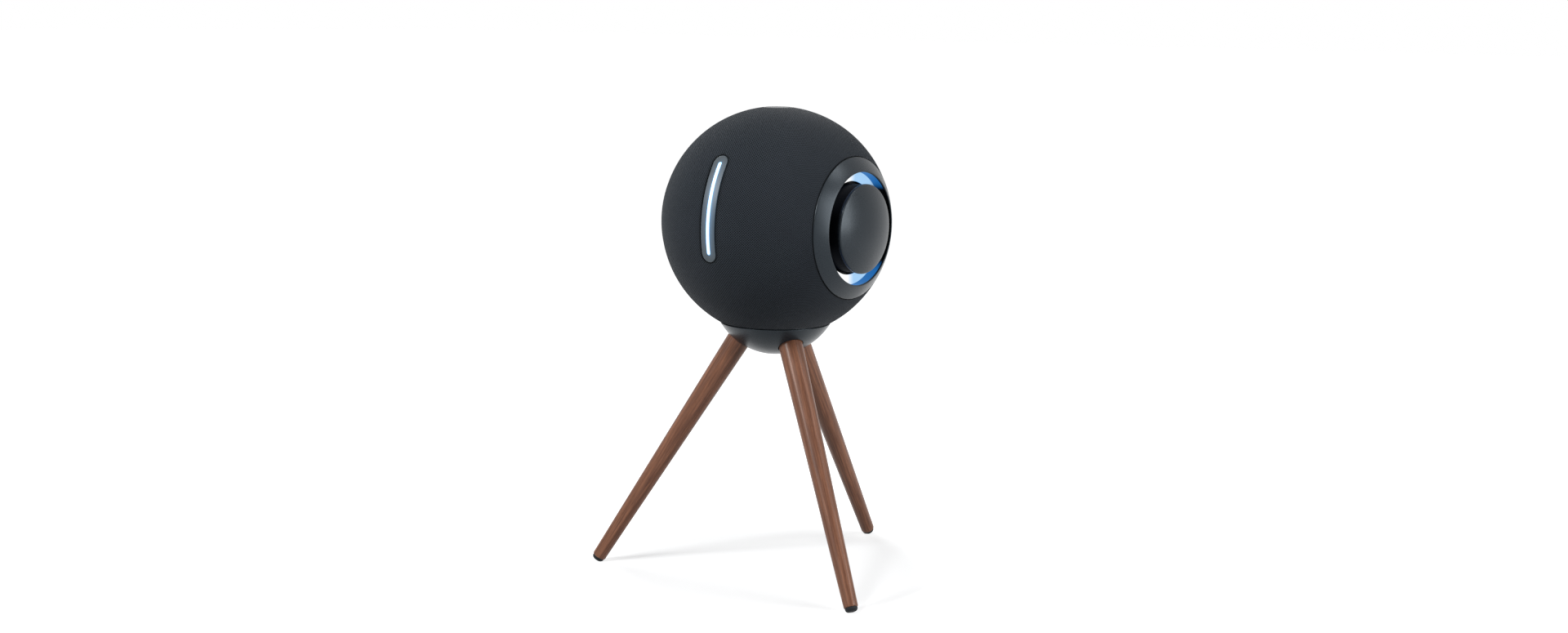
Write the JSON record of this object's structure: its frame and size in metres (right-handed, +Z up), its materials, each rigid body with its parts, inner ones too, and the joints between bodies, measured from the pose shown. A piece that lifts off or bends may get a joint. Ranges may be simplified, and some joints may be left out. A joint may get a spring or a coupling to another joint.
{
  "type": "smart speaker",
  "caption": "Ball-shaped smart speaker in dark woven fabric on splayed wooden legs, with an upright light bar, lit recesses round domed side woofers, a top button and a power socket below.",
  "frame": {"origin": "on the floor, under the centre of the ball", "axes": "+Z up, light bar towards -Y, +X to the right of a person who faces the light bar"},
  "size_m": [0.3518, 0.327, 0.5103],
  "materials": {
    "fabric": "dark woven mesh, matte",
    "wood": "oiled walnut, satin",
    "rubber": "matte moulded rubber",
    "charcoal": "fine satin moulding",
    "bezel": "satin moulding",
    "black_plastic": "matte moulding",
    "bar_light": "lit opal diffuser",
    "ring_light": "lit translucent lining",
    "steel": "zinc plated",
    "aluminium": "die cast",
    "ferrite": "sintered ring",
    "circuit_board": "solder mask",
    "copper": "enamelled wire",
    "spider_cloth": "resin-stiffened cloth",
    "silk": "coated silk"
  },
  "bodies": {
    "speaker": {"base_cup": "charcoal", "base_nut": "charcoal", "cabinet_gasket": "rubber", "cabinet_left": "black_plastic", "cabinet_right": "black_plastic", "cabinet_screws": "steel", "control_board": "circuit_board", "fabric_cover": "fabric", "foot_front_left": "rubber", "foot_front_right": "rubber", "foot_rear": "rubber", "grille_front": "black_plastic", "grille_rear": "black_plastic", "heat_sink": "aluminium", "hub_screws": "steel", "left_basket": "aluminium", "left_light_board": "circuit_board", "left_light_ring": "ring_light", "left_magnet": "ferrite", "left_spider": "spider_cloth", "left_surround": "rubber", "left_top_plate": "steel", "left_trim_ring": "charcoal", "left_tweeter_frame": "black_plastic", "left_yoke": "steel", "leg_front_left": "wood", "leg_front_right": "wood", "leg_hub": "aluminium", "leg_rear": "wood", "leg_studs": "steel", "light_bar_bezel": "bezel", "light_bar_board": "circuit_board", "light_bar_diffuser": "bar_light", "main_board": "circuit_board", "power_inlet": "black_plastic", "power_lead": "rubber", "right_basket": "aluminium", "right_light_board": "circuit_board", "right_light_ring": "ring_light", "right_magnet": "ferrite", "right_spider": "spider_cloth", "right_surround": "rubber", "right_top_plate": "steel", "right_trim_ring": "charcoal", "right_tweeter_frame": "black_plastic", "right_yoke": "steel", "top_bezel": "charcoal", "top_switch": "black_plastic", "wireless_module": "steel", "woofer_screws": "steel"},
    "button": {"top_button": "charcoal"},
    "right_woofer": {"right_dome": "charcoal", "right_piston": "black_plastic", "right_voice_coil": "copper"},
    "right_tweeter": {"right_tweeter_dome": "silk"},
    "left_woofer": {"left_dome": "charcoal", "left_piston": "black_plastic", "left_voice_coil": "copper"},
    "left_tweeter": {"left_tweeter_dome": "silk"}
  },
  "joints": [
    {"name": "right_woofer_stroke", "type": "slide", "parent": "speaker", "child": "right_woofer", "axis": [1, 0, 0], "range_m": [-0.004, 0.004], "stiffness_N_per_m": 1800, "deforming": ["right_surround", "right_spider"]},
    {"name": "left_woofer_stroke", "type": "slide", "parent": "speaker", "child": "left_woofer", "axis": [-1, 0, 0], "range_m": [-0.004, 0.004], "stiffness_N_per_m": 1800, "deforming": ["left_surround", "left_spider"]},
    {"name": "right_tweeter_stroke", "type": "slide", "parent": "speaker", "child": "right_tweeter", "axis": [0.4695, -0.8829, 0], "range_m": [-0.0004, 0.0004], "stiffness_N_per_m": 1500},
    {"name": "left_tweeter_stroke", "type": "slide", "parent": "speaker", "child": "left_tweeter", "axis": [-0.4695, -0.8829, 0], "range_m": [-0.0004, 0.0004], "stiffness_N_per_m": 1500},
    {"name": "button_press", "type": "slide", "parent": "speaker", "child": "button", "axis": [0, 0, -1], "range_m": [0, 0.0008], "stiffness_N_per_m": 2000}
  ]
}
